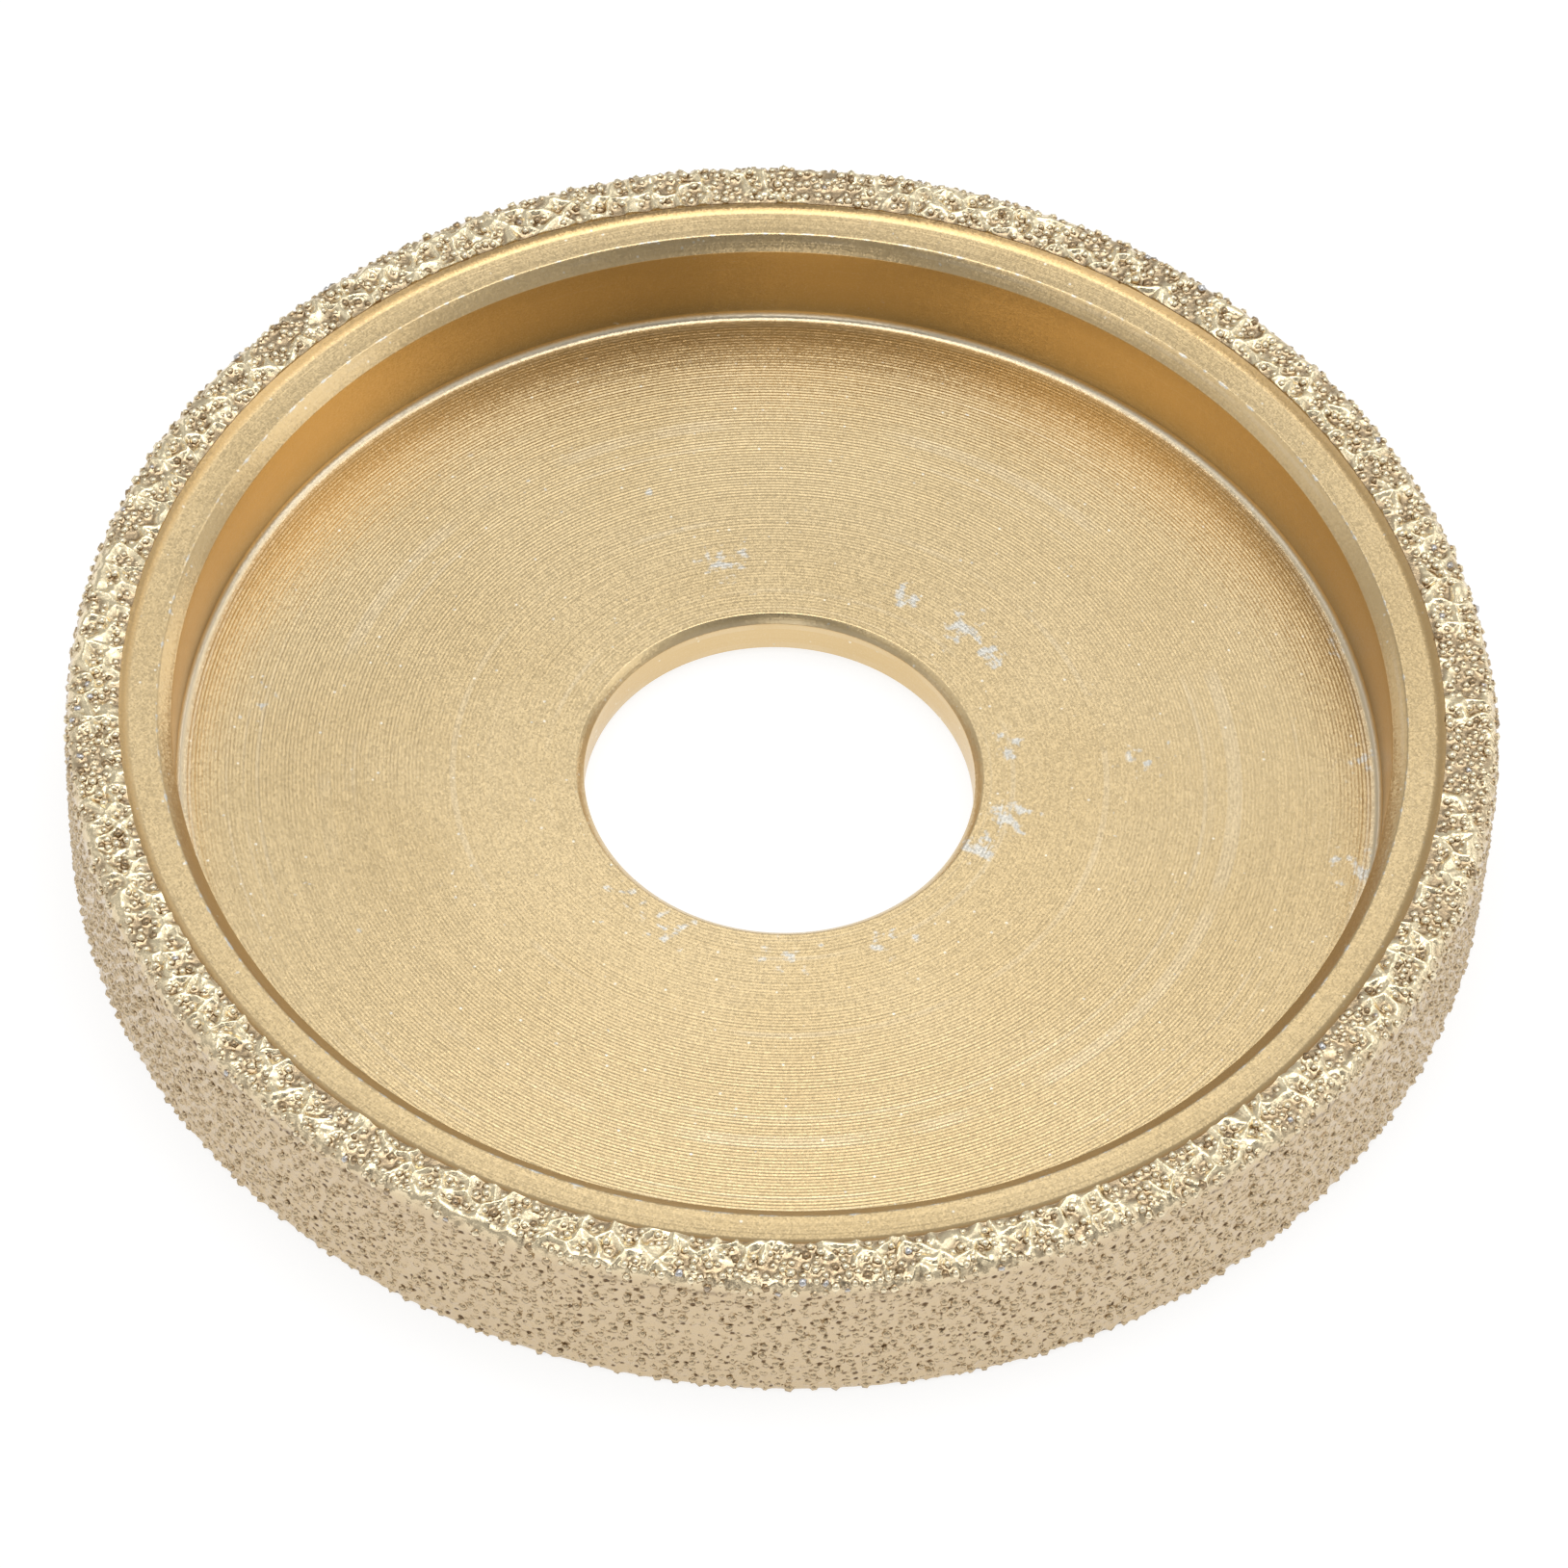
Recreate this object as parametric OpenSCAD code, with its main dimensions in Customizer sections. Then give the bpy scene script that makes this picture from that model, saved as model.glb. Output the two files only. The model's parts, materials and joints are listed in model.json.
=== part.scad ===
// Edge-grinding wheel: a turned steel cup with a single layer of diamond crystals brazed on its rim.
// The origin is on the wheel's axis, in the plane of the flat back. The cup opens towards +Z.

/* [Wheel] */
// Outer diameter, over the crystals
wheel_d = 80; // [60:0.5:150]
// Overall thickness, from the flat back to the top of the crystals
wheel_t = 10; // [7:0.1:30]

/* [Web and bore] */
// Thickness of the web that the flanges clamp
web_t = 3; // [2:0.1:4]
// Diameter of the arbor bore
bore_d = 22; // [10:0.1:30]
// Chamfer at both mouths of the bore
bore_chamfer = 0.45; // [0.1:0.05:0.9]

/* [Recess and rim] */
// Radial width of the rim, from the recess's edge to the outside of the crystals
rim_w = 5.2; // [4:0.05:8]
// Radial width of the chamfer inside the rim
rim_chamfer_w = 0.8; // [0.2:0.05:1.5]
// Depth of the chamfer inside the rim
rim_chamfer_h = 0.7; // [0.2:0.05:1.5]
// Radial width of the bare land
land_w = 1.5; // [0.5:0.1:2]
// Radial width of the ramp from the land up to the abrasive
ramp_w = 0.6; // [0.2:0.05:0.8]
// Height of the ramp
ramp_h = 0.28; // [0.1:0.02:0.6]
// Radius of the fillet between the web and the recess's wall
recess_fillet = 0.5; // [0.2:0.05:1]
// How much further out the recess's wall stands at its top than at its foot
wall_draft = 0.1; // [0:0.05:0.5]

/* [Abrasive] */
// Thickness of the braze on the steel
braze_t = 0.18; // [0.1:0.02:0.4]
// How far the tallest crystals stand out of the braze
grit_stand = 0.32; // [0.2:0.02:0.6]
// Width of one crystal
grit_w = 0.5; // [0.3:0.05:0.8]
// Distance between neighbouring crystals
grit_pitch = 1.6; // [1.4:0.1:4]
// Radius of the steel's outer corner at the face
face_corner_r = 0.45; // [0.2:0.05:0.8]
// Radius of the steel's outer corner at the back
back_corner_r = 0.3; // [0.2:0.05:0.6]

/* [Hidden] */
$fn = 96;

// Radii, from the axis outwards
bore_r = bore_d / 2;
wheel_r = wheel_d / 2;
braze_r = wheel_r - grit_stand;          // outside of the braze
core_r = braze_r - braze_t;              // outside of the steel
edge_r = wheel_r - rim_w;                // edge between the chamfer and the land
wall_r = edge_r - rim_chamfer_w;         // top of the recess's wall
wall_foot_r = wall_r - wall_draft;
land_r = edge_r + land_w;                // outer edge of the land
seat_r = land_r + ramp_w;                // inner edge of the abrasive

// Heights above the flat back
braze_top_z = wheel_t - grit_stand;
seat_z = braze_top_z - braze_t;          // the steel's face under the braze
land_z = seat_z - ramp_h;
wall_top_z = land_z - rim_chamfer_h;

// Centres of the rounded outer corners, shared by the steel and the braze
face_corner = [core_r - face_corner_r, seat_z - face_corner_r];
back_corner = [core_r - back_corner_r, back_corner_r];
// How far the braze runs round the back corner before it would pass the flat back
back_wrap = asin(back_corner_r / (back_corner_r + braze_t));

// Crystals: the shortest stand this share of grit_stand, and the bases reach half a diagonal out
grit_least = 0.75;
grit_reach = grit_w / sqrt(2);

// Shades of the finishes
lacquer_gold = [0.80, 0.64, 0.38];
braze_gold = [0.72, 0.58, 0.42];
crystal_tan = [0.86, 0.77, 0.60];

// Points of an arc, from one angle to another
function arc(centre, radius, from, to, steps = 8) =
    [for (i = [0 : steps]) let (a = from + (to - from) * i / steps) centre + radius * [cos(a), sin(a)]];

// Evenly spaced places from one value to another, no closer than the pitch
function spread(from, to, pitch) =
    let (n = max(1, floor((to - from) / pitch)))
    [for (i = [0 : n]) from + (to - from) * i / n];

// ---------------------------------------------------------------- steel

// One turned piece: the web with its bore, the wall of the recess and the rim
module steel_core() {
    bore = [
        [bore_r + bore_chamfer, 0],
        [bore_r, bore_chamfer],
        [bore_r, web_t - bore_chamfer],
        [bore_r + bore_chamfer, web_t],
    ];
    recess = arc([wall_foot_r - recess_fillet, web_t + recess_fillet], recess_fillet, -90, 0);
    rim = [[wall_r, wall_top_z], [edge_r, land_z], [land_r, land_z], [seat_r, seat_z]];
    outside = concat(arc(face_corner, face_corner_r, 90, 0), arc(back_corner, back_corner_r, 0, -90));
    color(lacquer_gold)
        rotate_extrude() polygon(concat(bore, recess, rim, outside));
}

// ---------------------------------------------------------------- abrasive

// The filler metal: a thin skin over the rim's face, its two outer corners and its side
module braze_layer() {
    inner_slope = [[seat_r, seat_z], [seat_r + braze_t, braze_top_z]];
    over = concat(
        arc(face_corner, face_corner_r + braze_t, 90, 0),
        arc(back_corner, back_corner_r + braze_t, 0, -back_wrap)
    );
    under = concat(
        arc(back_corner, back_corner_r, -90, 0),
        arc(face_corner, face_corner_r, 0, 90)
    );
    color(braze_gold)
        rotate_extrude() polygon(concat(inner_slope, over, under));
}

// One crystal, with its foot on the braze at [radius, height] and its axis leaning out from the wheel's
module crystal(foot, around, lean, spin, stand) {
    rotate([0, 0, around]) translate([foot[0], 0, foot[1]]) rotate([0, lean, 0]) rotate([0, 0, spin])
        translate([-grit_w / 2, -grit_w / 2, 0]) cube([grit_w, grit_w, stand]);
}

// A ring of crystals. Every second ring is turned by half a step, and each crystal has its own spin and height
module crystal_ring(foot, lean, index) {
    count = floor(2 * PI * foot[0] / grit_pitch);
    spins = rands(0, 90, count, 100 + index);
    heights = rands(grit_least, 1, count, 200 + index);
    for (i = [0 : count - 1])
        crystal(foot, (i + index % 2 / 2) * 360 / count, lean, spins[i], heights[i] * grit_stand);
}

// Crystals on the rim's face
module face_grit() {
    rings = spread(seat_r + braze_t + grit_reach, face_corner[0] - grit_reach, grit_pitch);
    color(crystal_tan)
        for (i = [0 : len(rings) - 1]) crystal_ring([rings[i], braze_top_z], 0, i);
}

// Crystals round the rim's outer corner
module shoulder_grit() {
    foot = face_corner + (face_corner_r + braze_t) * [cos(45), sin(45)];
    color(crystal_tan)
        crystal_ring(foot, 45, 10);
}

// Crystals on the rim's side
module side_grit() {
    rings = spread(back_corner[1] + grit_reach, face_corner[1] - grit_reach, grit_pitch);
    color(crystal_tan)
        for (i = [0 : len(rings) - 1]) crystal_ring([braze_r, rings[i]], 90, 20 + i);
}

steel_core();
braze_layer();
face_grit();
shoulder_grit();
side_grit();
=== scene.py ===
"""Diamond edge wheel: a gold-lacquered steel cup with one layer of crystals brazed round its rim."""

import json
import logging
import math
from collections.abc import Callable
from dataclasses import dataclass, field
from enum import Enum

import bpy
import numpy as np
from mathutils import Matrix, Quaternion, Vector


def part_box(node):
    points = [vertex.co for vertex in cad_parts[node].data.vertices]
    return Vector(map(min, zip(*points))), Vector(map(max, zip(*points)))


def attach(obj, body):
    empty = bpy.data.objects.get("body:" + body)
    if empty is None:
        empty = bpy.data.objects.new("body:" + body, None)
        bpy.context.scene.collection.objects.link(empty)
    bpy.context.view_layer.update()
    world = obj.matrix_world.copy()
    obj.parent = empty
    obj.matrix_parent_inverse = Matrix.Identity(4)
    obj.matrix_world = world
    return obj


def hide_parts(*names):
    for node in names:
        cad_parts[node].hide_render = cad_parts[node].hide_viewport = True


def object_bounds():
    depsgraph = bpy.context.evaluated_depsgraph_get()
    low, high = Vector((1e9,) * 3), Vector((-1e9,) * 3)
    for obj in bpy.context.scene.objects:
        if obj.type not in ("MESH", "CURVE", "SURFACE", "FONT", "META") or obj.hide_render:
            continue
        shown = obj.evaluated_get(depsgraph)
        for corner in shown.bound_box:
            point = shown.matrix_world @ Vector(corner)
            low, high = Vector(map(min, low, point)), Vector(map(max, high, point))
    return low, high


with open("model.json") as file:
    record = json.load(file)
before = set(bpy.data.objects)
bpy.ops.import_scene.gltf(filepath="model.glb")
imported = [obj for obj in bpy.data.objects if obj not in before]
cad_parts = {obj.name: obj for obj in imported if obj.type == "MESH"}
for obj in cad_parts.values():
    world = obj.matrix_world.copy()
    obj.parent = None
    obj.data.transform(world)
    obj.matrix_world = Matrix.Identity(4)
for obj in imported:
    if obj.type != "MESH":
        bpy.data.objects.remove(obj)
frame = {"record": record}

CAD_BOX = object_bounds()
LOG = logging.getLogger("diamond_wheel")
MM = 0.001
TURN = 2 * math.pi
MERGE = 1e-7

Point = tuple[float, float]
Colour = tuple[float, float, float, float]
Socket = bpy.types.NodeSocket
Array = np.ndarray


# ---- sizes


@dataclass(frozen=True)
class WheelSizes:
    """The wheel's own sizes in millimetres. What the frame can tell is read from it."""

    wheel_r: float
    wheel_t: float
    web_t: float
    bore_r: float
    core_r: float
    seat_z: float
    braze_r: float
    braze_z: float
    bore_chamfer: float = 0.45
    rim_w: float = 5.2
    chamfer_w: float = 0.8
    chamfer_h: float = 0.7
    land_w: float = 1.5
    ramp_w: float = 0.6
    ramp_h: float = 0.28
    recess_fillet: float = 0.5
    wall_draft: float = 0.1
    face_corner_r: float = 0.45
    back_corner_r: float = 0.3

    @classmethod
    def from_frame(cls) -> "WheelSizes":
        """Read the outer sizes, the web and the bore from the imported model.

        Returns:
            The wheel's sizes.
        """
        mounts = {m["name"]: m for m in frame["record"]["mounts"]}
        core_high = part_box("steel_core")[1] / MM
        braze_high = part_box("braze_layer")[1] / MM
        return cls(
            wheel_r=CAD_BOX[1].y / MM,
            wheel_t=CAD_BOX[1].z / MM,
            web_t=mounts["front_clamp_face"]["pos_m"][2] / MM,
            bore_r=mounts["arbor_bore"]["dims"]["r_mm"],
            core_r=core_high.x,
            seat_z=core_high.z,
            braze_r=braze_high.x,
            braze_z=braze_high.z,
        )

    @property
    def edge_r(self) -> float:
        """Radius of the edge between the chamfer and the land."""
        return self.wheel_r - self.rim_w

    @property
    def wall_r(self) -> float:
        """Radius of the recess's wall at its top."""
        return self.edge_r - self.chamfer_w

    @property
    def land_r(self) -> float:
        """Radius of the land's outer edge."""
        return self.edge_r + self.land_w

    @property
    def seat_r(self) -> float:
        """Radius at which the abrasive begins."""
        return self.land_r + self.ramp_w

    @property
    def land_z(self) -> float:
        """Height of the land."""
        return self.seat_z - self.ramp_h


def arc(centre: Point, radius: float, start: float, stop: float, steps: int) -> list[Point]:
    """Points of an arc in the lathe section.

    Args:
        centre: The arc's centre, as radius and height.
        radius: The arc's own radius.
        start: First angle in degrees.
        stop: Last angle in degrees.
        steps: Number of chords.

    Returns:
        The points from the first angle to the last.
    """
    angles = [math.radians(start + (stop - start) * i / steps) for i in range(steps + 1)]
    return [(centre[0] + radius * math.cos(a), centre[1] + radius * math.sin(a)) for a in angles]


def part_way(start: Point, target: Point, reach: float) -> Point:
    """The point at a distance from one point of the section towards another."""
    share = reach / math.dist(start, target)
    return tuple(a + (b - a) * share for a, b in zip(start, target))


# ---- modelling by hand


def deselect_all() -> None:
    """Leave object mode with nothing selected, so that an operator acts on the new piece alone."""
    if bpy.context.object and bpy.context.object.mode != "OBJECT":
        bpy.ops.object.mode_set(mode="OBJECT")
    bpy.ops.object.select_all(action="DESELECT")


def lathe(name: str, section: list[Point], steps: int, sectors: int = 1) -> bpy.types.Object:
    """Draw a closed section by extruding one vertex, and spin it round the wheel's axis.

    Args:
        name: The piece's name.
        section: Radius and height of each point, in millimetres, in order.
        steps: Number of steps round the axis.
        sectors: A power of two. One such share of the turn is spun, then copied round by doubling.

    Returns:
        The turned piece, with its normals outwards.
    """
    deselect_all()
    first = section[0]
    bpy.ops.mesh.primitive_plane_add(size=MM, location=(first[0] * MM, 0, first[1] * MM))
    piece = bpy.context.object
    piece.name = piece.data.name = name
    bpy.ops.object.transform_apply(location=True, rotation=True, scale=True)
    bpy.ops.object.mode_set(mode="EDIT")
    bpy.ops.mesh.select_all(action="SELECT")
    bpy.ops.mesh.merge(type="CENTER")
    for (r0, z0), (r1, z1) in zip(section, section[1:] + section[:1]):
        bpy.ops.mesh.extrude_region_move(
            TRANSFORM_OT_translate={"value": ((r1 - r0) * MM, 0, (z1 - z0) * MM)}
        )
    bpy.ops.mesh.select_all(action="SELECT")
    bpy.ops.mesh.remove_doubles(threshold=MERGE)
    bpy.ops.mesh.spin(steps=steps // sectors, angle=TURN / sectors, center=(0, 0, 0), axis=(0, 0, 1))
    share = TURN / sectors
    while share < TURN - 1e-6:
        bpy.ops.mesh.select_all(action="SELECT")
        bpy.ops.mesh.duplicate()
        bpy.ops.transform.rotate(value=-share, orient_axis="Z", center_override=(0, 0, 0))
        share *= 2
    bpy.ops.mesh.select_all(action="SELECT")
    bpy.ops.mesh.remove_doubles(threshold=MERGE)
    bpy.ops.mesh.normals_make_consistent(inside=False)
    bpy.ops.object.mode_set(mode="OBJECT")
    return piece


def polar(co: Array) -> tuple[Array, Array]:
    """Radius and angle of each vertex about the wheel's axis."""
    return np.hypot(co[:, 0], co[:, 1]), np.arctan2(co[:, 1], co[:, 0])


def around_axis(radial: Array, sideways: Array, up: Array, angle: Array) -> Array:
    """Vectors given by their radial, sideways and upward parts, one row each, turned to their angle."""
    cos, sin = np.cos(angle), np.sin(angle)
    return np.stack([radial * cos - sideways * sin, radial * sin + sideways * cos, up], 1)


def vertex_array(mesh: bpy.types.Mesh) -> Array:
    """Coordinates of a mesh's vertices, in millimetres, one row each.

    Args:
        mesh: The mesh.

    Returns:
        The coordinates.
    """
    co = np.empty(len(mesh.vertices) * 3, np.float32)
    mesh.vertices.foreach_get("co", co)
    return co.reshape(-1, 3).astype(float) / MM


def set_vertices(mesh: bpy.types.Mesh, co: Array) -> None:
    """Move a mesh's vertices to new places, given in millimetres."""
    mesh.vertices.foreach_set("co", (co * MM).astype(np.float32).ravel())
    mesh.update()


def paint(mesh: bpy.types.Mesh, name: str, values: Array) -> None:
    """Store one number at each vertex, for a finish to read."""
    layer = mesh.attributes.new(name, "FLOAT", "POINT")
    layer.data.foreach_set("value", values.astype(np.float32))


def finish_piece(piece: bpy.types.Object, material: bpy.types.Material, slot: str, *nodes: str) -> None:
    """Dress a piece, put it on the wheel's one body and hide the CAD nodes that it stands for.

    Args:
        piece: The finished piece.
        material: Its material.
        slot: The record's material slot; not used.
        nodes: The CAD nodes that it stands for.
    """
    piece.data.materials.clear()
    piece.data.materials.append(material)
    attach(piece, "root")
    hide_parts(*nodes)
    piece.data.calc_loop_triangles()
    LOG.info("%s: %d triangles", piece.name, len(piece.data.loop_triangles))


# ---- finishes


class NodeTree:
    """A tree of shader nodes, with a short way to add each kind that is used."""

    def __init__(self, tree: bpy.types.NodeTree) -> None:
        """Take over a tree."""
        self.tree = tree

    def node(self, kind: str, **settings: object) -> bpy.types.Node:
        """Add a node and set its properties.

        Args:
            kind: Its type.
            settings: Its properties.

        Returns:
            The node.
        """
        made = self.tree.nodes.new(kind)
        for key, value in settings.items():
            setattr(made, key, value)
        return made

    def link(self, source: Socket, target: Socket) -> None:
        """Join two sockets."""
        self.tree.links.new(source, target)

    def feed(self, socket: Socket, value: object) -> None:
        """Give a socket either a link or a plain value.

        Args:
            socket: The input.
            value: A socket to link, or a value to set.
        """
        if isinstance(value, Socket):
            self.link(value, socket)
        else:
            socket.default_value = value

    def math(self, operation: str, first: object, second: object) -> Socket:
        """A Math node on two numbers or sockets.

        Args:
            operation: What it works out.
            first: Its first input.
            second: Its second input.

        Returns:
            The result.
        """
        made = self.node("ShaderNodeMath", operation=operation)
        self.feed(made.inputs[0], first)
        self.feed(made.inputs[1], second)
        return made.outputs[0]

    def times(self, first: object, second: object) -> Socket:
        """Multiply two numbers or sockets."""
        return self.math("MULTIPLY", first, second)

    def vector(self, operation: str, *values: object) -> Socket:
        """A Vector Math node on vectors or sockets.

        Args:
            operation: What it works out.
            values: Its inputs, in order.

        Returns:
            The result.
        """
        made = self.node("ShaderNodeVectorMath", operation=operation)
        for socket, value in zip(made.inputs, values):
            self.feed(socket, value)
        return made.outputs["Value" if operation in ("LENGTH", "DOT_PRODUCT") else "Vector"]

    def ramp(self, value: Socket, low: float, high: float, ends: Point = (0.0, 1.0)) -> Socket:
        """Turn a value into a smooth step, from the first end at low to the second at high.

        Args:
            value: The value.
            low: Where the step begins.
            high: Where it ends.
            ends: What it gives at the two ends.

        Returns:
            The step.
        """
        made = self.node("ShaderNodeMapRange", interpolation_type="SMOOTHSTEP")
        self.link(value, made.inputs["Value"])
        for name, number in zip(("From Min", "From Max", "To Min", "To Max"), (low, high, *ends)):
            made.inputs[name].default_value = number
        return made.outputs["Result"]


class Recipe(NodeTree):
    """A material under construction. Patterns are worked out in millimetres on Object coordinates."""

    def __init__(self, name: str) -> None:
        """Start an empty material with one Principled shader.

        Args:
            name: The material's name.
        """
        self.material = bpy.data.materials.new(name)
        self.material.use_nodes = True
        super().__init__(self.material.node_tree)
        self.tree.nodes.clear()
        self.shader = self.node("ShaderNodeBsdfPrincipled")
        output = self.node("ShaderNodeOutputMaterial")
        self.link(self.shader.outputs["BSDF"], output.inputs["Surface"])
        place = self.node("ShaderNodeTexCoord")
        self.place = self.vector("MULTIPLY", place.outputs["Object"], (1 / MM, 1 / MM, 1 / MM))

    def fill(self, **values: object) -> None:
        """Feed the shader's inputs, each named in lower case with low lines for spaces.

        Args:
            values: What each input gets.
        """
        inputs = {socket.name.lower().replace(" ", "_"): socket for socket in self.shader.inputs}
        for name, value in values.items():
            self.feed(inputs[name], value)

    def noise(self, scale: float, detail: float = 2.0, at: Socket | None = None) -> Socket:
        """Fractal noise from 0 to 1.

        Args:
            scale: Features per millimetre.
            detail: Octaves.
            at: The place it is read at, if not the piece's own.

        Returns:
            The noise.
        """
        made = self.node("ShaderNodeTexNoise")
        self.link(at or self.place, made.inputs["Vector"])
        made.inputs["Scale"].default_value = scale
        made.inputs["Detail"].default_value = detail
        return made.outputs["Fac"]

    def mix(self, factor: object, first: object, second: object) -> Socket:
        """Blend two colours.

        Args:
            factor: Share of the second.
            first: One colour.
            second: The other.

        Returns:
            The blend.
        """
        made = self.node("ShaderNodeMix", data_type="RGBA")
        self.feed(made.inputs["Factor"], factor)
        self.feed(made.inputs["A"], first)
        self.feed(made.inputs["B"], second)
        return made.outputs["Result"]

    def attribute(self, name: str) -> Socket:
        """A number painted on the piece."""
        return self.node("ShaderNodeAttribute", attribute_name=name).outputs["Fac"]

    def bump(self, height: Socket, depth: float, under: Socket) -> Socket:
        """Bump of a real depth in millimetres, on top of another normal.

        Args:
            height: The pattern.
            depth: Its depth in millimetres.
            under: The normal below it.

        Returns:
            The new normal.
        """
        made = self.node("ShaderNodeBump")
        made.inputs["Distance"].default_value = depth * MM
        self.link(height, made.inputs["Height"])
        self.link(under, made.inputs["Normal"])
        return made.outputs["Normal"]

    def section_place(self) -> Socket:
        """Radius and height of the place, so that a pattern runs round the wheel in rings.

        Returns:
            The place in the section.
        """
        split = self.node("ShaderNodeSeparateXYZ")
        self.link(self.place, split.inputs[0])
        flat = self.node("ShaderNodeCombineXYZ")
        self.link(split.outputs["X"], flat.inputs["X"])
        self.link(split.outputs["Y"], flat.inputs["Y"])
        made = self.node("ShaderNodeCombineXYZ")
        self.link(self.vector("LENGTH", flat.outputs[0]), made.inputs["X"])
        self.link(split.outputs["Z"], made.inputs["Z"])
        return made.outputs[0]

    def cells(self, width: float) -> bpy.types.Node:
        """Random cells of a width in millimetres.

        Args:
            width: Width of one cell.

        Returns:
            The pattern's node.
        """
        made = self.node("ShaderNodeTexVoronoi")
        self.link(self.place, made.inputs["Vector"])
        made.inputs["Scale"].default_value = 1 / width
        return made

    def sparks(self, gap: float, size: float, share: float) -> Socket:
        """Sparse bright points: 1 on a spark and 0 elsewhere.

        Args:
            gap: Distance between the cells that may hold a spark, in millimetres.
            size: Radius of a spark in millimetres.
            share: Part of the cells that hold none.

        Returns:
            The mask.
        """
        cells = self.cells(gap)
        near = self.ramp(cells.outputs["Distance"], size / gap * 1.3, size / gap * 0.6)
        chosen = self.math("GREATER_THAN", self.vector("LENGTH", cells.outputs["Color"]), share * 1.45)
        return self.times(near, chosen)

    def flakes(self, size: float, strength: float) -> Socket:
        """A normal that tips at random from flake to flake, as in metallic lacquer.

        Args:
            size: Width of one flake in millimetres.
            strength: How far a flake tips, as a share of the normal.

        Returns:
            The tipped normal.
        """
        cells = self.cells(size)
        tip = self.vector("SUBTRACT", cells.outputs["Color"], (0.5, 0.5, 0.5))
        tip = self.vector("MULTIPLY", tip, (strength, strength, strength))
        normal = self.node("ShaderNodeNewGeometry").outputs["Normal"]
        return self.vector("NORMALIZE", self.vector("ADD", normal, tip))


class Finish:
    """A finish: each kind says in dress() what feeds its shader."""

    def dress(self, r: Recipe) -> None:
        """Feed the shader of a new material."""
        raise NotImplementedError

    def material(self, name: str) -> bpy.types.Material:
        """Build a material with this finish.

        Args:
            name: Its name.

        Returns:
            The material.
        """
        recipe = Recipe(name)
        self.dress(recipe)
        return recipe.material


@dataclass(frozen=True)
class GoldLacquer(Finish):
    """Satin gold lacquer on turned steel, with flakes, fine turning lines and worn silver places, and painted
    shade and highlights.
    """

    gold: Colour = (0.745, 0.580, 0.330, 1)
    # deeper, more saturated gold: painted shade and reflection where the recess's faces mirror each other
    wall_gold: Colour = (0.74, 0.48, 0.20, 1)
    deep_gold: Colour = (0.66, 0.49, 0.25, 1)
    # dark brown of painted shade: groove roots, the land and the foot of the recess's wall
    root: Colour = (0.47, 0.33, 0.155, 1)
    # pale highlight colour: painted highlight on the fillet, painted glints and paler rings, and a faint
    # random pale grain
    spark: Colour = (0.98, 0.93, 0.80, 1)
    steel: Colour = (0.74, 0.71, 0.63, 1)
    roughness: float = 0.30
    mottling: float = 0.35
    line_tone: float = 0.30
    groove_shade_tone: float = 0.42
    grain: float = 0.09
    polish_tone: float = 0.55
    ring_tone: float = 0.10
    glint_share: float = 0.8
    chip_share: float = 0.8

    def dress(self, r: Recipe) -> None:
        """Mix the gold with its lines, painted shade, rings, a painted highlight and sparks as painted
        glints, and lay bare steel over it.

        Args:
            r: The new material.
        """
        # painted shade of the recess, from the wall layer
        wall = r.attribute("wall")
        open_face = r.math("SUBTRACT", 1.0, wall)
        lines = r.noise(5.0, 4.0, r.section_place())
        mottle = r.ramp(r.noise(0.10, 3.0), 0.40, 0.70)
        tone = r.mix(r.times(mottle, self.mottling), self.gold, self.deep_gold)
        tone = r.mix(r.times(r.ramp(lines, 0.48, 0.72), self.line_tone), tone, self.deep_gold)
        tone = r.mix(wall, tone, self.wall_gold)
        # painted shade from the groove layer
        tone = r.mix(r.times(r.attribute("groove"), self.groove_shade_tone), tone, self.root)
        tone = r.mix(r.times(r.ramp(r.noise(9.0), 0.5, 0.75), self.grain), tone, self.spark)
        # painted highlight along the fillet
        tone = r.mix(r.times(r.attribute("polish"), self.polish_tone), tone, self.spark)
        rings = r.ramp(r.noise(1.5, 1.0, r.section_place()), 0.60, 0.66)
        rings = r.times(rings, r.ramp(r.noise(0.13), 0.45, 0.60))
        tone = r.mix(r.times(rings, self.ring_tone), tone, self.spark)
        # painted glints: sparse bright points on the open face
        sparks = r.times(r.sparks(0.7, 0.085, 0.74), self.glint_share)
        tone = r.mix(r.times(sparks, open_face), tone, self.spark)
        rubbed = r.times(r.math("SUBTRACT", r.noise(1.3, 5.0), 0.5), 2.0)
        rubbed = r.math("ADD", rubbed, r.times(r.math("SUBTRACT", lines, 0.5), 0.5))
        bare = r.ramp(r.math("ADD", r.attribute("wear"), rubbed), 0.44, 0.72)
        chips = r.times(r.ramp(r.noise(1.9, 4.0), 0.73, 0.76), self.chip_share)
        bare = r.math("MAXIMUM", bare, r.times(chips, open_face))
        rough = r.math("ADD", self.roughness - 0.04, r.times(r.noise(4.0, 3.0), 0.08))
        r.fill(base_color=r.mix(bare, tone, self.steel), metallic=1.0, roughness=rough)
        r.fill(normal=r.bump(lines, 0.010, r.flakes(0.09, 0.10)))


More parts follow.
